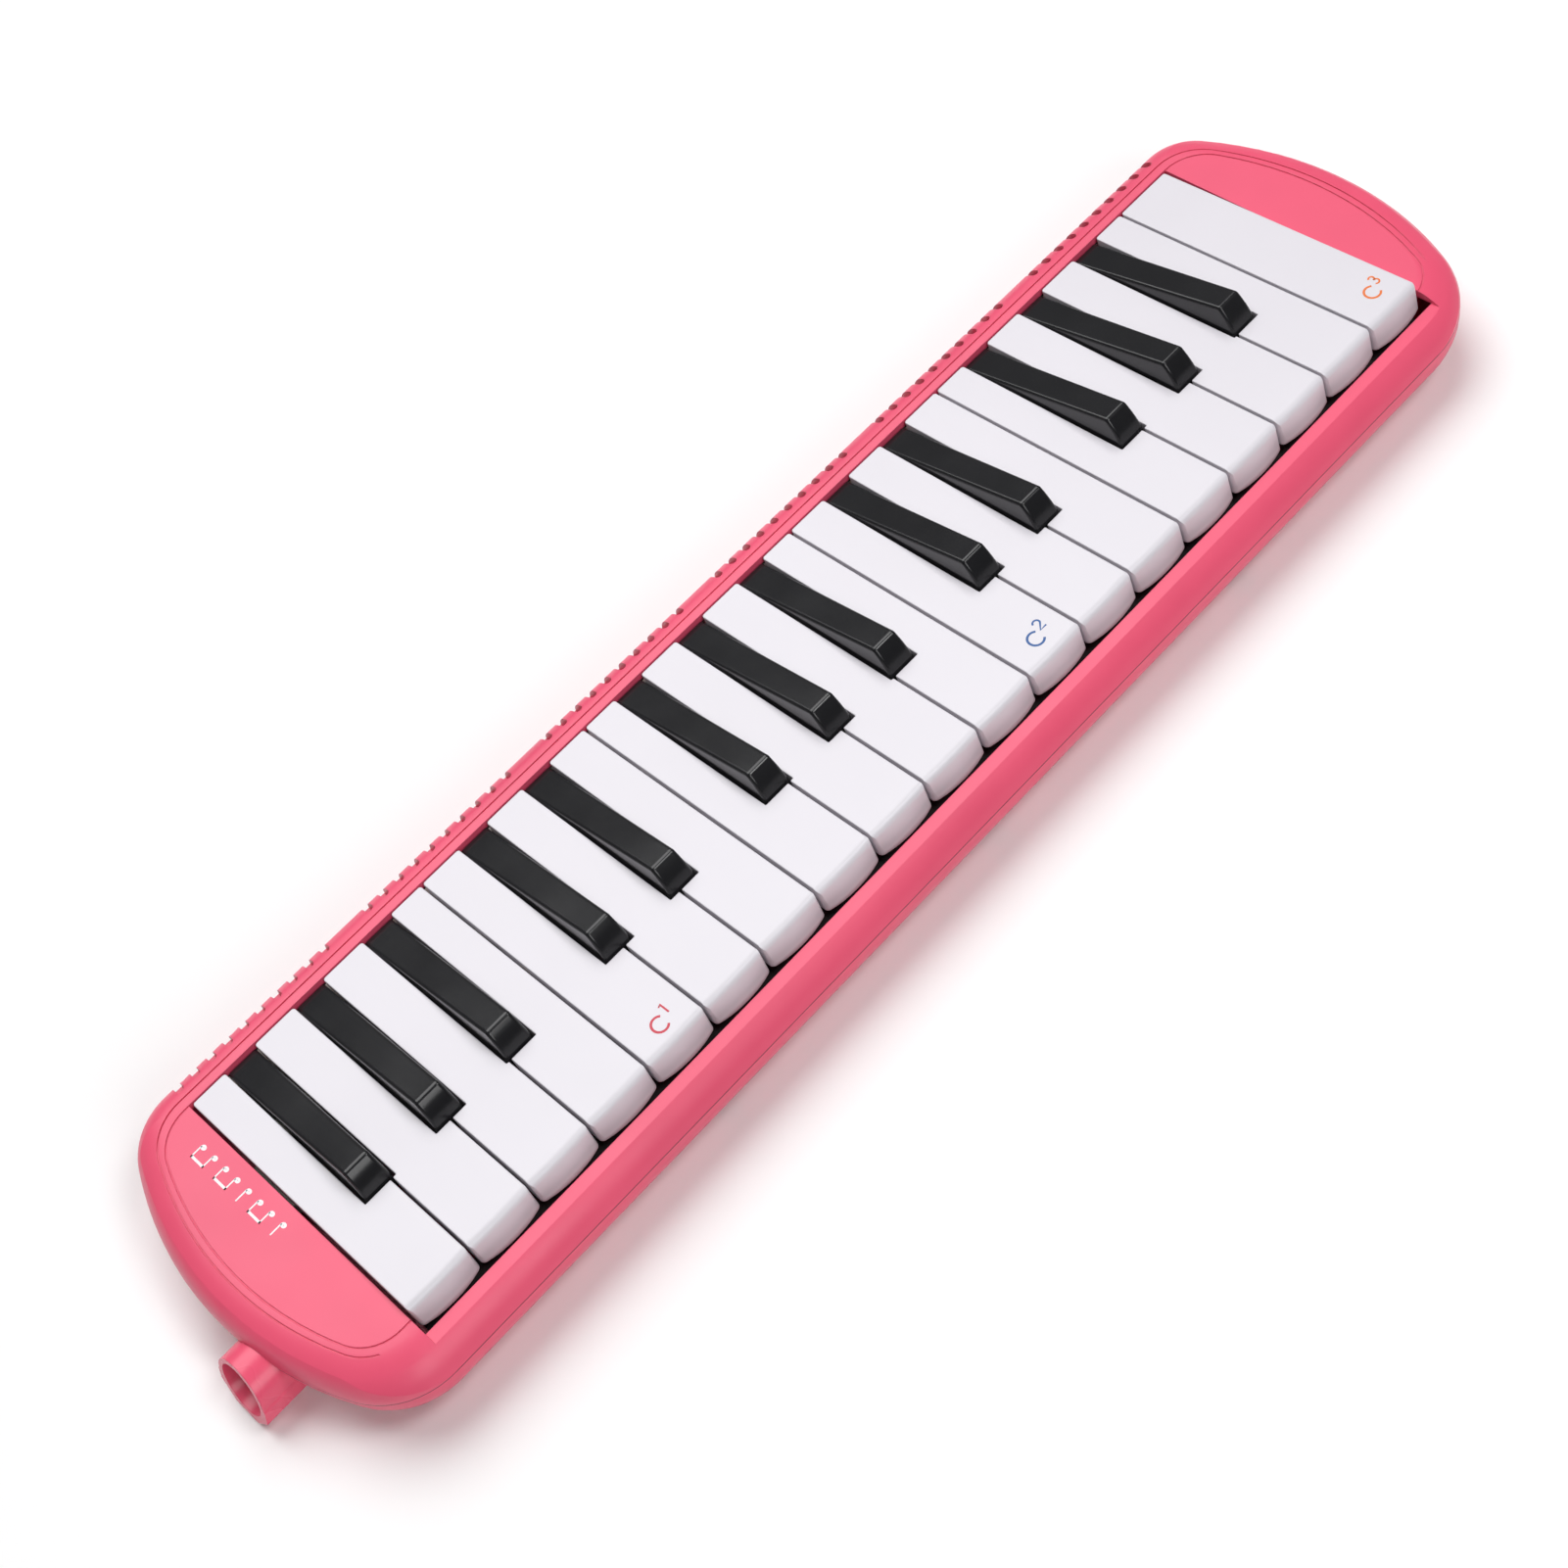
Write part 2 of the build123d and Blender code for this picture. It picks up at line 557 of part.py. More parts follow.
# ---------------------------------------------------------------- springs, rod and felts
def make_key_springs():
    """Bronze strip with one spring finger under the front of each lever."""
    z0 = BLOCK_TOP + 0.02
    z1 = z0 + STRIP_THICK
    strip = block(-BLOCK_HALF + 2, BLOCK_HALF - 2, STRIP_SCREW_Y - 1.7, STRIP_SCREW_Y + 1.7, z0, z1)
    root = STRIP_SCREW_Y + 1.6
    for x in LEVERS:
        strip += side_profile(
            [(root, z0), (root + 1.1, z0), (root + 4.3, z0 + 0.58), (root + 5, z0 + 0.48),
             (root + 5, z0 + 0.73), (root + 4.2, z0 + 0.88), (root + 1, z1), (root, z1)],
            x - 1.8, x + 1.8,
        )
    for x in STRIP_SCREWS_X:
        strip -= upright(SMALL_SCREW + HOLE_SLIP, x, STRIP_SCREW_Y, BLOCK_TOP - 1, BLOCK_TOP + 2)
    return strip


def make_strip_screws():
    """Screws of the spring strip."""
    z = BLOCK_TOP + 0.02 + STRIP_THICK
    screws = []
    for x in STRIP_SCREWS_X:
        head = upright(SMALL_HEAD, x, STRIP_SCREW_Y, z, z + 0.8)
        screws.append(head + upright(SMALL_SCREW, x, STRIP_SCREW_Y, BLOCK_TOP - 3, z))
    return screws


def make_front_felt():
    """Felt strip the white keys land on."""
    z0 = STOP_TOP + SLIP
    half = KEYBOARD_HALF - 1
    return block(-half, half, STOP_FRONT + 0.2, STOP_REAR - 0.3, z0, z0 + FELT_THICK)


def make_rear_felt():
    """Felt strip under the rear rail, over the lever tails."""
    z1 = BODY_HEIGHT - WALL - SLIP
    half = KEYBOARD_HALF - 1
    return block(-half, half, OPENING_REAR + 0.2, OPENING_REAR + 2, z1 - 0.9, z1)


# ---------------------------------------------------------------- keys
def lever(x, web_top):
    """Hub, bar and web under a key; the bar closes its valve with a pad under the tail."""
    half = LEVER_WIDTH / 2
    bar = block(x - half, x + half, LEVER_FRONT, LEVER_REAR, LEVER_BOTTOM, LEVER_TOP)
    hub = along_x(HUB_RADIUS, PIVOT_Y, PIVOT_Z, x - half, x + half)
    web = block(x - WEB_THICK / 2, x + WEB_THICK / 2, LEVER_FRONT, OPENING_REAR - 3, LEVER_TOP, web_top)
    return bar + hub + web


def pad(x):
    """Felt and rubber valve pad glued under the tail."""
    half = LEVER_WIDTH / 2
    return block(x - half, x + half, PAD_Y - PAD_LENGTH / 2, PAD_Y + PAD_LENGTH / 2,
                 BLOCK_TOP + SLIP, LEVER_BOTTOM - 0.01)


def rod_bore():
    """Bore for the key rod."""
    return along_x(BORE_RADIUS, PIVOT_Y, PIVOT_Z, -KEYBOARD_HALF - 5, KEYBOARD_HALF + 5)


def white_plan(index, inset, bow):
    """Plan outline of a white key from the rod outwards, moved in by inset, front edge bowed by bow."""
    x0 = boundary(index) + KEY_GAP / 2 + inset
    x1 = boundary(index + 1) - KEY_GAP / 2 - inset
    left, right = white_rear_edges(index)
    left += inset
    right -= inset
    notch = BLACK_FRONT - PIVOT_Y - NOTCH_GAP - inset
    front = WHITE_FRONT + inset
    rear = WHITE_REAR - inset
    points = [(x1, front)]
    if right < x1 - 0.1:
        points += [(x1, notch), (right, notch)]
    points += [(right, rear), (left, rear)]
    if left > x0 + 0.1:
        points += [(left, notch), (x0, notch)]
    points += [(x0, front)]
    middle = ((x0 + x1) / 2, front - bow)
    face = make_face([Polyline(*points), ThreePointArc(points[-1], middle, points[0])])
    front_corners = face.vertices().group_by(Axis.Y)[0]
    face = fillet(front_corners, WHITE_CORNER)
    rear_corners = face.vertices().group_by(Axis.Y)[-1]
    face = fillet(rear_corners, REAR_ROUND)
    notch_corners = face.vertices().filter_by(lambda corner: abs(corner.Y - notch) < 0.1)
    return fillet(notch_corners, NOTCH_ROUND) if notch_corners else face


def leaning_prism(face, top, bottom):
    """A key outline carried down from height top to height bottom along the lean of the front."""
    lean = FACE_LEAN / WHITE_FACE
    start = Pos(0, -lean * (WHITE_TOP - top), top) * face
    return extrude(start, amount=(top - bottom) * sqrt(1 + lean**2), dir=Vector(0, -lean, -1).normalized())


def white_front(centre):
    """Key stock whose front face runs from a straight nose down to a bowed foot."""
    x0 = centre - WHITE_PITCH / 2
    x1 = centre + WHITE_PITCH / 2
    foot = WHITE_TOP - WHITE_FACE
    foot_y = WHITE_FRONT - FACE_LEAN
    top_face = make_face(Polyline(
        (x0, WHITE_FRONT, WHITE_TOP), (x1, WHITE_FRONT, WHITE_TOP),
        (x1, WHITE_REAR + 1, WHITE_TOP), (x0, WHITE_REAR + 1, WHITE_TOP), close=True,
    ))
    foot_face = make_face([
        ThreePointArc((x0, foot_y, foot), (centre, foot_y - FOOT_BOW, foot), (x1, foot_y, foot)),
        Line((x1, foot_y, foot), (x1, WHITE_REAR + 1, foot)),
        Line((x1, WHITE_REAR + 1, foot), (x0, WHITE_REAR + 1, foot)),
        Line((x0, WHITE_REAR + 1, foot), (x0, foot_y, foot)),
    ])
    solid = loft([foot_face, top_face], ruled=True)
    top_edges = solid.edges().group_by(Axis.Z)[-1]
    return fillet(top_edges.sort_by(Axis.Y)[0], WHITE_NOSE)


def white_key(index):
    """One white key with its lever, and its pad as a separate solid."""
    foot = WHITE_TOP - WHITE_FACE
    centre = (boundary(index) + boundary(index + 1)) / 2
    solid = leaning_prism(white_plan(index, 0, FOOT_BOW + 0.05), WHITE_TOP, foot)
    solid = fillet(solid.edges().group_by(Axis.Z)[-1], KEY_EDGE)
    solid &= white_front(centre)
    solid -= block(centre - 20, centre + 20, -8.0, WHITE_REAR + 2, foot - 1, 3.0)
    solid -= leaning_prism(white_plan(index, KEY_WALL, 0.02), WHITE_TOP - KEY_ROOF, foot - 1)
    place = Pos(0, PIVOT_Y, PIVOT_Z) * Rot(-KEY_SLOPE, 0, 0)
    x = WHITE_LEVERS[index]
    return (place * solid) + lever(x, PIVOT_Z + WHITE_TOP - KEY_ROOF) - rod_bore(), pad(x)


def black_profile(x):
    """Side outline of a black key: long wedge top, rounded ridge, bulging front slope, rounded foot."""
    rear = OPENING_REAR - 0.6
    run = BLACK_RIDGE - BLACK_FRONT
    rise = BLACK_RIDGE_Z - BLACK_FOOT_Z
    slope = sqrt(run**2 + rise**2)
    bulge = (
        (BLACK_RIDGE + BLACK_FRONT) / 2 - BLACK_BULGE * rise / slope,
        (BLACK_RIDGE_Z + BLACK_FOOT_Z) / 2 + BLACK_BULGE * run / slope,
    )
    ridge_corner = (x, BLACK_RIDGE, BLACK_RIDGE_Z)
    foot_corner = (x, BLACK_FRONT, BLACK_FOOT_Z)
    face = make_face([
        Polyline(
            foot_corner, (x, BLACK_FRONT, BLACK_SKIRT_Z), (x, rear, BLACK_SKIRT_Z - 0.4),
            (x, rear, BLACK_REAR_Z), ridge_corner,
        ),
        ThreePointArc(ridge_corner, (x, *bulge), foot_corner),
    ])
    face = fillet(face.vertices().sort_by(Axis.Z)[-1], BLACK_RIDGE_ROUND)
    return fillet(face.vertices().sort_by_distance(foot_corner)[0], BLACK_FOOT_ROUND)


def black_section(x):
    """Cross-section of a black key: sides that lean in towards the top."""
    foot = BLACK_FOOT_WIDTH / 2
    top = BLACK_TOP_WIDTH / 2
    return make_face(Polyline(
        (x - foot, 0, BLACK_SKIRT_Z - 1), (x + foot, 0, BLACK_SKIRT_Z - 1),
        (x + top, 0, BLACK_RIDGE_Z + 0.5), (x - top, 0, BLACK_RIDGE_Z + 0.5), close=True,
    ))


def black_key(x):
    """One black key with its lever, and its pad as a separate solid."""
    solid = extrude(black_profile(x), amount=BLACK_FOOT_WIDTH, dir=(1, 0, 0), both=True)
    solid &= extrude(black_section(x), amount=60, dir=(0, 1, 0), both=True)
    soft_edges = solid.edges().filter_by(lambda edge: edge.center().Z > BLACK_REAR_Z + 2)
    solid = fillet([edge for edge in soft_edges if abs(edge.tangent_at(0.5).X) < 0.9], BLACK_EDGE)
    rear = OPENING_REAR - 0.6
    solid -= side_profile(
        [(rear - 4, BLACK_SKIRT_Z - 2), (rear - 6, BLACK_SKIRT_Z + 0.5),
         (BLACK_RIDGE + 1.5, BLACK_RIDGE_Z - 2.8), (BLACK_FRONT + 1.8, BLACK_FOOT_Z - 0.5),
         (BLACK_FRONT + 1.6, BLACK_SKIRT_Z - 2)],
        x - BLACK_TOP_WIDTH / 2 + KEY_WALL, x + BLACK_TOP_WIDTH / 2 - KEY_WALL,
    )
    return solid + lever(x, BLACK_SKIRT_Z + 0.6) - rod_bore(), pad(x)


# ---------------------------------------------------------------- drain valve
def make_drain_button():
    """Push button on the underside that lets condensed water out of the tray."""
    head = upright(DRAIN_HEAD_RADIUS, DRAIN_X, DRAIN_Y, DRAIN_HEAD_Z, DRAIN_HEAD_Z + DRAIN_HEAD_THICK)
    head = fillet(head.edges().group_by(Axis.Z)[0], 0.5)
    stem = upright(DRAIN_STEM, DRAIN_X, DRAIN_Y, DRAIN_HEAD_Z + DRAIN_HEAD_THICK, TRAY_BOTTOM + 3.0)
    cap = upright(2.8, DRAIN_X, DRAIN_Y, TRAY_BOTTOM + 2.5, TRAY_BOTTOM + 3.1)
    return head + stem + cap


def make_drain_seal():
    """Rubber washer that closes the drain holes from inside the tray."""
    z0 = TRAY_BOTTOM + TRAY_WALL + 0.02
    washer = upright(4.0, DRAIN_X, DRAIN_Y, z0, TRAY_BOTTOM + 2.5)
    return washer - upright(DRAIN_STEM + 0.02, DRAIN_X, DRAIN_Y, 0, 12)


def make_drain_spring():
    """Coil spring between the button head and the tray."""
    wire = 0.17
    z0 = DRAIN_HEAD_Z + DRAIN_HEAD_THICK + wire + 0.02
    z1 = TRAY_BOTTOM - wire - 0.02
    radius = 3.2
    path = Helix(pitch=(z1 - z0) / 3, height=z1 - z0, radius=radius)
    start = Plane(origin=path @ 0, z_dir=path % 0)
    coil = sweep(start * Circle(wire), path=path)
    return Pos(DRAIN_X, DRAIN_Y, z0) * coil


# ---------------------------------------------------------------- write every sub-part
save("top_case", make_top_case())
save("bottom_case", make_bottom_case())
save("case_screws", *make_case_screws())
save("mouthpiece_socket", make_socket())
save("socket_ring", make_socket_ring())
save("air_duct", make_duct())
save("duct_seal", make_duct_seal())
save("air_tray", make_tray())
save("tray_gasket", make_gasket())
save("reed_block", make_reed_block())
save("block_screws", *make_block_screws())
save("reed_plate_bass", make_reed_plate(-PLATE_HALF, PLATE_SPLIT - 0.1))
save("reed_plate_treble", make_reed_plate(PLATE_SPLIT + 0.1, PLATE_HALF))
save("reeds", *make_reeds())
save("reed_rivets", *make_reed_rivets())
save("plate_screws", *make_plate_screws())
save("key_rod", along_x(ROD_RADIUS, PIVOT_Y, PIVOT_Z, -BLOCK_HALF + 1.2, BLOCK_HALF - 1.2))
save("key_springs", make_key_springs())
save("strip_screws", *make_strip_screws())
save("front_felt", make_front_felt())
save("rear_felt", make_rear_felt())
save("drain_button", make_drain_button())
save("drain_seal", make_drain_seal())
save("drain_spring", make_drain_spring())
for number in range(WHITE_COUNT):
    save(f"white_key_{number + 1:02d}", *white_key(number))
for number, black_x in enumerate(BLACK_LEVERS):
    save(f"black_key_{number + 1:02d}", *black_key(black_x))
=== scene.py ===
import json
import math

import bmesh
import bpy
from mathutils import Matrix, Vector


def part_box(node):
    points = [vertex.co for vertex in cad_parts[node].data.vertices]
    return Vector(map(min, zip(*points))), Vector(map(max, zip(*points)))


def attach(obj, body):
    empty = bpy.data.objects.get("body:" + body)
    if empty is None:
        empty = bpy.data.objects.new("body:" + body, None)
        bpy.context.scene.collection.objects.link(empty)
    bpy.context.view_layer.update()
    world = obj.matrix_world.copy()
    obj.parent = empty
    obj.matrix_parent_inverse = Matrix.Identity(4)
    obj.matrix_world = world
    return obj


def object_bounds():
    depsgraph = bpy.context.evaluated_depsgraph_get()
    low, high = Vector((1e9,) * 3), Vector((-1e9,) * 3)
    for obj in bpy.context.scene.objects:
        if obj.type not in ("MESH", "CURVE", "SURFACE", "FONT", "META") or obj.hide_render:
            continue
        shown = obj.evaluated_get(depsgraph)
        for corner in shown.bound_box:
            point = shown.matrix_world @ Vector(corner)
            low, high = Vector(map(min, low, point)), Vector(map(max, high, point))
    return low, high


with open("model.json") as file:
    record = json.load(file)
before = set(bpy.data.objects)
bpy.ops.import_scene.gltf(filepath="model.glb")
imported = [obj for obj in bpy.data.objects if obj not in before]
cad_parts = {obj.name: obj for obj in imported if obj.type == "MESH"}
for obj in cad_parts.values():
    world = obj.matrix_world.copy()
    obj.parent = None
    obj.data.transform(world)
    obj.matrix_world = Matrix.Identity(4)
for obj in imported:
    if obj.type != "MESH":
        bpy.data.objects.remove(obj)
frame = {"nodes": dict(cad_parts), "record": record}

cad_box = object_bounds()

# ------------------------------------------------------------------ sizes, in metres
MM = 0.001
WHITE_KEYS = sorted(name for name in frame["nodes"] if name.startswith("white_key_"))
BLACK_KEYS = sorted(name for name in frame["nodes"] if name.startswith("black_key_"))
FELT_PAD_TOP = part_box("reed_block")[0].z + 7.18 * MM   # pads lie between the reed block and the levers
FELT_PAD_FRONT = 41 * MM
SEAM_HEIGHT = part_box("bottom_case")[1].z
# width of the line of painted shade along the seam, standing in for the shadow in the gap between the case
# halves
SEAM_SHADE_LINE = 0.22 * MM

# marks printed on the tops of three white keys: key, octave number, ink, distance behind the key's
# front and aside from its middle
OCTAVE_MARKS = [
    ("white_key_05", "1", "ink_red", 8.15 * MM, 0.0),
    ("white_key_12", "2", "ink_blue", 9.05 * MM, 0.0),
    ("white_key_19", "3", "ink_orange", 10.25 * MM, 1.2 * MM),
]
MARK_HEIGHT = 5.2 * MM        # of the note letter
MARK_STROKE = 0.66 * MM
NUMERAL_SHIFT = Vector((3.7 * MM, 2.4 * MM))
NUMERAL_HEIGHT = 3.5 * MM
INK_THICK = 0.03 * MM
RAY_START = 1.0               # height the search for a surface starts from, well above the object

# ornament printed on the low end panel: a row of plain notes, read with its top towards the low end
NOTE_COUNT = 8
NOTE_SPACING = 4.6 * MM
NOTE_HEIGHT = 4.4 * MM
NOTE_HEAD = 0.95 * MM         # half the length of a note head
NOTE_STEM = 0.42 * MM
NOTE_BEAM = 0.7 * MM
BEAMED_NOTES = [1, 4, 6]      # notes joined by a beam to the next one
NOTE_ROW_ASIDE = 7.0 * MM     # middle of the row, from the end of the keyboard
NOTE_ROW_Y = 17.7 * MM

# camera
CAMERA_LENS = 59.26           # in millimetres, for a sensor 36 mm wide
CAMERA_SENSOR = 36.0
CAMERA_TARGET = Vector((-29.66, -10.69, 25.0)) * MM
CAMERA_DISTANCE = 643.45 * MM
CAMERA_AZIMUTH = math.radians(-27.672)      # towards the low notes
CAMERA_ELEVATION = math.radians(54.1285)
CAMERA_ROLL = math.radians(-21.886)

# floor and light
FLOOR_HALF = 4.0
FLOOR_GAP = 0.02 * MM
SURROUND_BRIGHT_SIDE = (0.35, 0.45, 0.82)
SURROUND_DIM = 1.05
SURROUND_BRIGHT = 3.2
LIGHTS = [                    # name, place, diameter, power in watts
    ("key_light", (0.3, 1.35, 2.5), 2.8, 76.0),
    ("front_light", (-0.3, -1.9, 1.3), 1.2, 15.0),
    ("top_light", (0.4, -0.65, 1.3), 0.5, 6.0),
]


# ------------------------------------------------------------------ node helpers
class Shader:
    """A material's node tree with short calls for the nodes used here."""

    def __init__(self, name):
        self.material = bpy.data.materials.new(name)
        self.material.use_nodes = True
        self.tree = self.material.node_tree
        self.surface = self.tree.nodes["Principled BSDF"]
        coords = self.tree.nodes.new("ShaderNodeTexCoord")
        self.place = coords.outputs["Object"]

    def add(self, kind, **settings):
        node = self.tree.nodes.new(kind)
        for key, value in settings.items():
            setattr(node, key, value)
        return node

    def feed(self, socket, value):
        if isinstance(value, bpy.types.NodeSocket):
            self.tree.links.new(value, socket)
        else:
            socket.default_value = value

    def stretched(self, x, y, z):
        """Object coordinates scaled along each axis."""
        node = self.add("ShaderNodeMapping")
        self.feed(node.inputs["Vector"], self.place)
        node.inputs["Scale"].default_value = (x, y, z)
        return node.outputs["Vector"]

    def noise(self, size, detail=3.0, place=None):
        """Noise whose features are about size metres across."""
        node = self.add("ShaderNodeTexNoise")
        self.feed(node.inputs["Vector"], place or self.place)
        self.feed(node.inputs["Scale"], 1 / size)
        self.feed(node.inputs["Detail"], detail)
        return node.outputs["Fac"]

    def cells(self, size):
        """Distance from scattered points about size metres apart."""
        node = self.add("ShaderNodeTexVoronoi")
        self.feed(node.inputs["Vector"], self.place)
        self.feed(node.inputs["Scale"], 1 / size)
        return node.outputs["Distance"]

    def remap(self, value, low, high, new_low, new_high):
        node = self.add("ShaderNodeMapRange")
        sources = (value, low, high, new_low, new_high)
        for socket, source in zip(node.inputs, sources):
            self.feed(socket, source)
        return node.outputs[0]

    def math(self, operation, a, b=0.0):
        node = self.add("ShaderNodeMath", operation=operation)
        self.feed(node.inputs[0], a)
        self.feed(node.inputs[1], b)
        return node.outputs[0]

    def blend(self, factor, a, b):
        node = self.add("ShaderNodeMix", data_type="RGBA")
        self.feed(node.inputs["Factor"], factor)
        self.feed(node.inputs["A"], a)
        self.feed(node.inputs["B"], b)
        return node.outputs["Result"]

    def bump(self, height, distance, normal=None):
        node = self.add("ShaderNodeBump")
        self.feed(node.inputs["Height"], height)
        self.feed(node.inputs["Distance"], distance)
        self.feed(node.inputs["Strength"], 1.0)
        if normal:
            self.feed(node.inputs["Normal"], normal)
        return node.outputs["Normal"]

    def soft_edges(self, radius):
        """Normals that read as edges rounded by radius."""
        node = self.add("ShaderNodeBevel", samples=4)
        self.feed(node.inputs["Radius"], radius)
        return node.outputs["Normal"]

    def edge_mask(self, rounded):
        """0 on flat stretches, rising to 1 along edges."""
        geometry = self.add("ShaderNodeNewGeometry")
        node = self.add("ShaderNodeVectorMath", operation="DOT_PRODUCT")
        self.feed(node.inputs[0], rounded)
        self.feed(node.inputs[1], geometry.outputs["Normal"])
        return self.remap(node.outputs["Value"], 1.0, 0.8, 0.0, 1.0)

    def level_line(self, height, width):
        """1 within width of a level line at height, 0 elsewhere."""
        split = self.add("ShaderNodeSeparateXYZ")
        self.feed(split.inputs[0], self.place)
        away = self.math("ABSOLUTE", self.math("SUBTRACT", split.outputs["Z"], height))
        return self.remap(away, width / 2, width, 1.0, 0.0)

    def set(self, **inputs):
        for key, value in inputs.items():
            self.feed(self.surface.inputs[key.replace("_", " ")], value)


def shade(colour, factor):
    """A colour made lighter or darker by factor."""
    return tuple(min(channel * factor, 1.0) for channel in colour[:3]) + (1.0,)


# ------------------------------------------------------------------ materials
def moulded_plastic(name, colour, rough_low, rough_high, grain, edge_radius, worn,
                    cloud=0.04, gloss=0.5, seam=None):
    """Injection-moulded plastic: fine grain, faint sink waves, hand smudges and slightly worn edges.
    The colour clouds by a fraction cloud, and at the seam height a fine line of painted shade darkens it,
    standing in for the shadow in the gap between the halves."""
    s = Shader(name)
    clouds = s.noise(35 * MM, 2.0)
    tone = s.blend(s.remap(clouds, 0.3, 0.7, 0.0, 1.0), shade(colour, 1 - cloud), shade(colour, 1 + cloud))
    rounded = s.soft_edges(edge_radius)
    edge = s.edge_mask(rounded)
    scuffs = s.remap(s.noise(1.6 * MM, 4.0), 0.45, 0.7, 0.0, 1.0)
    wear = s.math("MULTIPLY", s.math("MULTIPLY", edge, scuffs), 0.5)
    smudges = s.remap(s.noise(18 * MM, 2.0), 0.25, 0.75, rough_low, rough_high)
    micro = s.bump(s.noise(0.22 * MM, 2.0), grain, rounded)
    waves = s.bump(s.noise(28 * MM, 1.0), 0.02 * MM, micro)
    cover = s.blend(wear, tone, worn)
    # painted shade: a fine dark line at the seam height stands in for the shadow in the gap between the two
    # case halves
    if seam is not None:
        cover = s.blend(s.level_line(seam, SEAM_SHADE_LINE), cover, shade(colour, 0.25))
    s.set(
        Base_Color=cover,
        Roughness=s.math("ADD", smudges, s.math("MULTIPLY", wear, 0.2)),
        Normal=waves,
        Specular_IOR_Level=gloss,
    )
    return s.material


def rolled_metal(name, colour, roughness, streak_axis):
    """Sheet or drawn metal with fine streaks along one axis and faint tarnish."""
    s = Shader(name)
    scale = [9000.0, 9000.0, 9000.0]
    scale[streak_axis] = 250.0
    streaks = s.noise(1.0, 3.0, s.stretched(*scale))
    tarnish = s.remap(s.noise(6 * MM, 4.0), 0.4, 0.75, 0.0, 0.6)
    s.set(
        Base_Color=s.blend(tarnish, shade(colour, 1.05), shade(colour, 0.7)),
        Metallic=1.0,
        Roughness=s.remap(streaks, 0.3, 0.7, roughness - 0.08, roughness + 0.12),
        Normal=s.bump(streaks, 0.01 * MM, s.soft_edges(0.1 * MM)),
    )
    return s.material


def rubber(name, colour):
    """Soft moulded rubber with a dusty bloom."""
    s = Shader(name)
    bloom = s.remap(s.noise(2.5 * MM, 5.0), 0.4, 0.7, 0.0, 0.5)
    s.set(
        Base_Color=s.blend(bloom, colour, shade(colour, 2.6)),
        Roughness=s.remap(bloom, 0.0, 0.5, 0.62, 0.85),
        Normal=s.bump(s.noise(0.3 * MM, 3.0), 0.02 * MM),
    )
    return s.material


def felt(name, colour):
    """Pressed wool felt: matted fibres and a soft sheen."""
    s = Shader(name)
    fibres = s.noise(0.5 * MM, 6.0)
    clumps = s.cells(1.4 * MM)
    s.set(
        Base_Color=s.blend(s.remap(fibres, 0.3, 0.7, 0.0, 1.0), shade(colour, 0.7), shade(colour, 1.35)),
        Roughness=0.95,
        Sheen_Weight=0.5,
        Normal=s.bump(s.math("ADD", fibres, clumps), 0.12 * MM),
    )
    return s.material


def printed_ink(name, colour):
    """Pad-printed ink: slightly uneven cover and a satin surface."""
    s = Shader(name)
    cover = s.remap(s.noise(0.35 * MM, 4.0), 0.3, 0.7, 0.0, 1.0)
    s.set(
        Base_Color=s.blend(cover, shade(colour, 0.9), shade(colour, 1.08)),
        Roughness=s.remap(cover, 0.0, 1.0, 0.4, 0.5),
        Normal=s.bump(s.noise(0.15 * MM, 2.0), 0.004 * MM),
    )
    return s.material


PINK = (0.8, 0.093, 0.175, 1.0)
PINK_WORN = (0.85, 0.22, 0.29, 1.0)
IVORY = (0.68, 0.655, 0.7, 1.0)
BLACK = (0.013, 0.013, 0.0145, 1.0)
CREAM = (0.6, 0.57, 0.51, 1.0)
BRASS = (0.72, 0.49, 0.17, 1.0)
ZINC = (0.56, 0.56, 0.58, 1.0)
BLACK_WORN = (0.03, 0.03, 0.032, 1.0)
FELT_BLACK = (0.012, 0.01, 0.011, 1.0)

MATERIALS = {
    # the case carries a fine line of painted shade along the seam between its halves
    "case_pink": moulded_plastic(
        "case_pink", PINK, 0.3, 0.4, 0.006 * MM, 0.3 * MM, PINK_WORN, gloss=0.36, seam=SEAM_HEIGHT,
    ),
    "socket_pink": moulded_plastic(
        "socket_pink", PINK, 0.24, 0.33, 0.005 * MM, 0.25 * MM, PINK_WORN, gloss=0.4,
    ),
    "key_white": moulded_plastic(
        "key_white", IVORY, 0.3, 0.36, 0.003 * MM, 0.25 * MM, (0.62, 0.6, 0.62, 1.0), cloud=0.012,
    ),
    "key_black": moulded_plastic(
        "key_black", BLACK, 0.13, 0.2, 0.004 * MM, 0.25 * MM, BLACK_WORN, gloss=0.4,
    ),
    "drain_white": moulded_plastic(
        "drain_white", IVORY, 0.3, 0.42, 0.01 * MM, 0.2 * MM, (0.6, 0.58, 0.57, 1.0),
    ),
    "inner_plastic": moulded_plastic(
        "inner_plastic", CREAM, 0.42, 0.58, 0.02 * MM, 0.2 * MM, (0.5, 0.47, 0.42, 1.0),
    ),
    "reed_brass": rolled_metal("reed_brass", BRASS, 0.3, 0),
    "steel": rolled_metal("steel", ZINC, 0.34, 2),
    "seal_rubber": rubber("seal_rubber", (0.02, 0.02, 0.021, 1.0)),
    "felt": felt("felt", FELT_BLACK),
    "valve_felt": felt("valve_felt", (0.5, 0.47, 0.4, 1.0)),
    "ink_red": printed_ink("ink_red", (0.55, 0.02, 0.05, 1.0)),
    "ink_blue": printed_ink("ink_blue", (0.012, 0.09, 0.3, 1.0)),
    "ink_orange": printed_ink("ink_orange", (0.75, 0.17, 0.03, 1.0)),
    "ink_white": printed_ink("ink_white", (0.86, 0.84, 0.85, 1.0)),
}


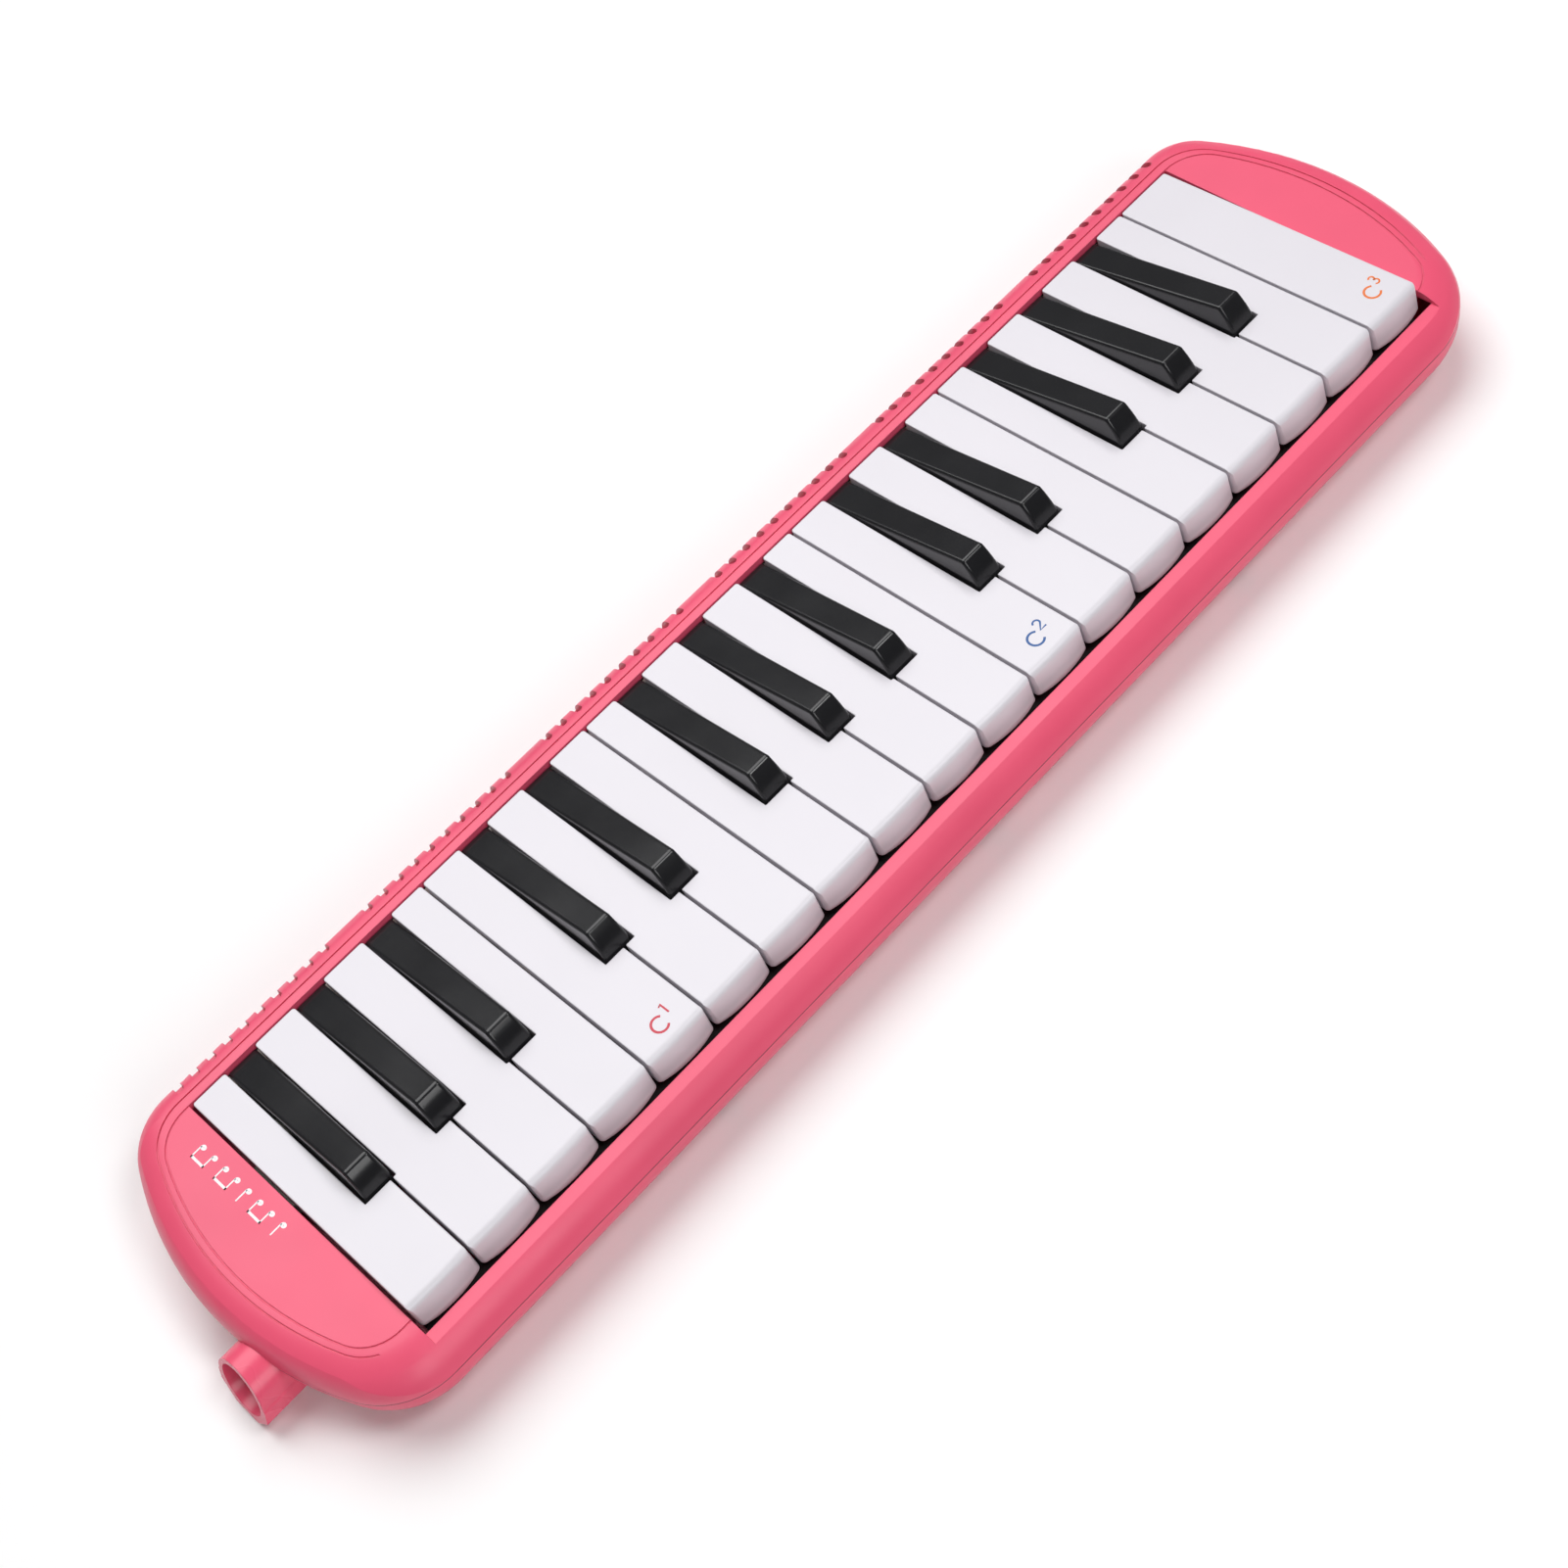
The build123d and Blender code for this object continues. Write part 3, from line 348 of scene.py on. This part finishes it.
def dress_nodes():
    """Give every CAD node the material of its slot, and the pads under the levers their felt."""
    for entry in frame["record"]["subparts"]:
        mesh = frame["nodes"][entry["node"]].data
        mesh.materials.clear()
        mesh.materials.append(MATERIALS[entry["material_slot"]])
        for polygon in mesh.polygons:
            polygon.material_index = 0
    for name in WHITE_KEYS + BLACK_KEYS:
        mesh = frame["nodes"][name].data
        mesh.materials.append(MATERIALS["valve_felt"])
        for polygon in mesh.polygons:
            low = polygon.center.z < FELT_PAD_TOP
            if low and polygon.center.y > FELT_PAD_FRONT:
                polygon.material_index = 1


# ------------------------------------------------------------------ printed marks
def surface_frame(node, x, y):
    """Matrix that puts flat work, drawn in XY, on top of a node at (x, y)."""
    above = Vector((x, y, RAY_START))
    found, point, normal, _ = frame["nodes"][node].ray_cast(above, Vector((0, 0, -1)))
    if not found:
        raise RuntimeError(f"nothing under the mark on {node}")
    across = Vector((1, 0, 0))
    along = normal.cross(across).normalized()
    across = along.cross(normal).normalized()
    turn = Matrix((across, along, normal)).transposed().to_4x4()
    return Matrix.Translation(point) @ turn


def stroke(mesh, points, width, closed=False):
    """Add a flat ribbon of even width along a path of (x, y) points, with thickness INK_THICK."""
    count = len(points)
    rows = []
    for index, point in enumerate(points):
        before = points[index - 1] if index > 0 or closed else point
        after = points[(index + 1) % count] if index < count - 1 or closed else point
        direction = (after - before).normalized()
        side = Vector((-direction.y, direction.x)) * width / 2
        corners = [(point + side, 0), (point - side, 0), (point - side, INK_THICK), (point + side, INK_THICK)]
        rows.append([mesh.verts.new((corner.x, corner.y, z)) for corner, z in corners])
    spans = count if closed else count - 1
    for index in range(spans):
        here = rows[index]
        there = rows[(index + 1) % count]
        for a in range(4):
            b = (a + 1) % 4
            mesh.faces.new((here[a], here[b], there[b], there[a]))
    if not closed:
        mesh.faces.new(rows[0][::-1])
        mesh.faces.new(rows[-1])


def arc(centre, radius, start, stop, steps, squeeze=1.0):
    """Points on an arc, angles in degrees, optionally squeezed along X."""
    points = []
    for step in range(steps + 1):
        angle = math.radians(start + (stop - start) * step / steps)
        points.append(centre + Vector((squeeze * radius * math.cos(angle), radius * math.sin(angle))))
    return points


def letter_c(height):
    radius = (height - MARK_STROKE) / 2
    return [arc(Vector((0, 0)), radius, 42, 318, 36, 0.95)]


def numeral(digit, height):
    """Strokes of a numeral drawn around the origin."""
    h = height / 2
    if digit == "1":
        return [[Vector((-0.45 * h, 0.62 * h)), Vector((0.0, 0.95 * h)), Vector((0.02 * h, -0.98 * h))]]
    if digit == "2":
        bowl = arc(Vector((0, 0.42 * h)), 0.56 * h, 165, -38, 18)
        return [bowl + [Vector((-0.58 * h, -0.92 * h)), Vector((0.66 * h, -0.92 * h))]]
    upper = arc(Vector((0, 0.46 * h)), 0.44 * h, 150, -95, 18)
    lower = arc(Vector((0, -0.46 * h)), 0.5 * h, 95, -150, 18)
    return [upper, lower]


def finish_piece(name, mesh, matrix, material, body):
    """Turn a bmesh of flat work into a piece that lies on the object and rides on a body."""
    bmesh.ops.recalc_face_normals(mesh, faces=mesh.faces)
    data = bpy.data.meshes.new(name)
    mesh.to_mesh(data)
    mesh.free()
    data.transform(matrix)
    data.materials.append(MATERIALS[material])
    piece = bpy.data.objects.new(name, data)
    bpy.context.scene.collection.objects.link(piece)
    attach(piece, body)


def octave_mark(key, digit, ink, behind, aside):
    """The note letter with its octave number, near the front of a white key."""
    low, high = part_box(key)
    matrix = surface_frame(key, (low.x + high.x) / 2 + aside, low.y + behind)
    mesh = bmesh.new()
    for path in letter_c(MARK_HEIGHT):
        stroke(mesh, path, MARK_STROKE)
    for path in numeral(digit, NUMERAL_HEIGHT):
        stroke(mesh, [point + NUMERAL_SHIFT for point in path], MARK_STROKE * 0.8)
    finish_piece(f"octave_mark_{digit}", mesh, matrix, ink, key)


def note_ornament():
    """A generic row of single and beamed notes on the low end panel."""
    keyboard_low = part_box(WHITE_KEYS[0])[0].x
    matrix = surface_frame("top_case", keyboard_low - NOTE_ROW_ASIDE, NOTE_ROW_Y)
    matrix = matrix @ Matrix.Rotation(math.radians(90), 4, "Z")
    mesh = bmesh.new()
    top = NOTE_HEIGHT / 2
    head_y = -top + NOTE_HEAD * 0.7
    for index in range(NOTE_COUNT):
        x = (index - (NOTE_COUNT - 1) / 2) * NOTE_SPACING
        head = arc(Vector((x - NOTE_HEAD, head_y)), NOTE_HEAD * 0.42, 0, 342, 19, 1.35)
        stroke(mesh, head, NOTE_HEAD * 0.7, closed=True)
        stroke(mesh, [Vector((x - NOTE_STEM / 2, head_y)), Vector((x - NOTE_STEM / 2, top))], NOTE_STEM)
        if index in BEAMED_NOTES:
            beam_y = top - NOTE_BEAM / 2
            stroke(mesh, [Vector((x - NOTE_STEM, beam_y)), Vector((x + NOTE_SPACING, beam_y))], NOTE_BEAM)
    finish_piece("note_ornament", mesh, matrix, "ink_white", "base")


# ------------------------------------------------------------------ studio
def make_camera():
    """Camera above the low, player's side of the instrument, rolled so that the keyboard runs diagonally."""
    data = bpy.data.cameras.new("camera")
    data.lens = CAMERA_LENS
    data.sensor_width = CAMERA_SENSOR
    data.clip_start = 0.01
    data.clip_end = 20.0
    camera = bpy.data.objects.new("camera", data)
    level = math.cos(CAMERA_ELEVATION)
    sideways = math.sin(CAMERA_AZIMUTH) * level
    forwards = -math.cos(CAMERA_AZIMUTH) * level
    back = Vector((sideways, forwards, math.sin(CAMERA_ELEVATION)))
    camera.location = CAMERA_TARGET + back * CAMERA_DISTANCE
    look = back.to_track_quat("Z", "Y").to_matrix()
    camera.rotation_euler = (look @ Matrix.Rotation(CAMERA_ROLL, 3, "Z")).to_euler()
    bpy.context.scene.collection.objects.link(camera)
    bpy.context.scene.camera = camera


def area_light(name, location, size, power):
    """Round soft light that points at the origin."""
    data = bpy.data.lights.new(name, "AREA")
    data.shape = "DISK"
    data.size = size
    data.energy = power
    light = bpy.data.objects.new(name, data)
    light.location = location
    light.rotation_euler = (-Vector(location)).to_track_quat("-Z", "Y").to_euler()
    bpy.context.scene.collection.objects.link(light)


def make_floor():
    """Plain pale floor under the instrument."""
    mesh = bpy.data.meshes.new("floor")
    half = FLOOR_HALF
    z = cad_box[0].z - FLOOR_GAP
    corners = [(-half, -half, z), (half, -half, z), (half, half, z), (-half, half, z)]
    mesh.from_pydata(corners, [], [(0, 1, 2, 3)])
    s = Shader("floor_paper")
    s.set(
        Base_Color=s.blend(s.noise(0.4, 2.0), (0.9, 0.9, 0.9, 1.0), (0.93, 0.93, 0.93, 1.0)),
        Roughness=0.9,
        Normal=s.bump(s.noise(0.8 * MM, 2.0), 0.01 * MM),
    )
    mesh.materials.append(s.material)
    floor = bpy.data.objects.new("floor", mesh)
    bpy.context.scene.collection.objects.link(floor)


def make_surround():
    """Even white surround, brightest behind and above, dimmer on the player's side."""
    world = bpy.data.worlds.new("surround")
    world.use_nodes = True
    tree = world.node_tree
    coords = tree.nodes.new("ShaderNodeTexCoord")
    facing = tree.nodes.new("ShaderNodeVectorMath")
    facing.operation = "DOT_PRODUCT"
    facing.inputs[1].default_value = SURROUND_BRIGHT_SIDE
    strength = tree.nodes.new("ShaderNodeMapRange")
    strength.inputs["From Min"].default_value = -0.2
    strength.inputs["From Max"].default_value = 1.0
    strength.inputs["To Min"].default_value = SURROUND_DIM
    strength.inputs["To Max"].default_value = SURROUND_BRIGHT
    tree.links.new(coords.outputs["Generated"], facing.inputs[0])
    tree.links.new(facing.outputs["Value"], strength.inputs["Value"])
    tree.links.new(strength.outputs["Result"], tree.nodes["Background"].inputs["Strength"])
    bpy.context.scene.world = world


def light_studio():
    """Large soft light from above and behind, weaker ones on the player's side, and the surround."""
    make_surround()
    for light in LIGHTS:
        area_light(*light)
    bpy.context.scene.view_settings.view_transform = "Standard"


# ------------------------------------------------------------------ build the scene
dress_nodes()
for mark in OCTAVE_MARKS:
    octave_mark(*mark)
note_ornament()
make_camera()
make_floor()
light_studio()
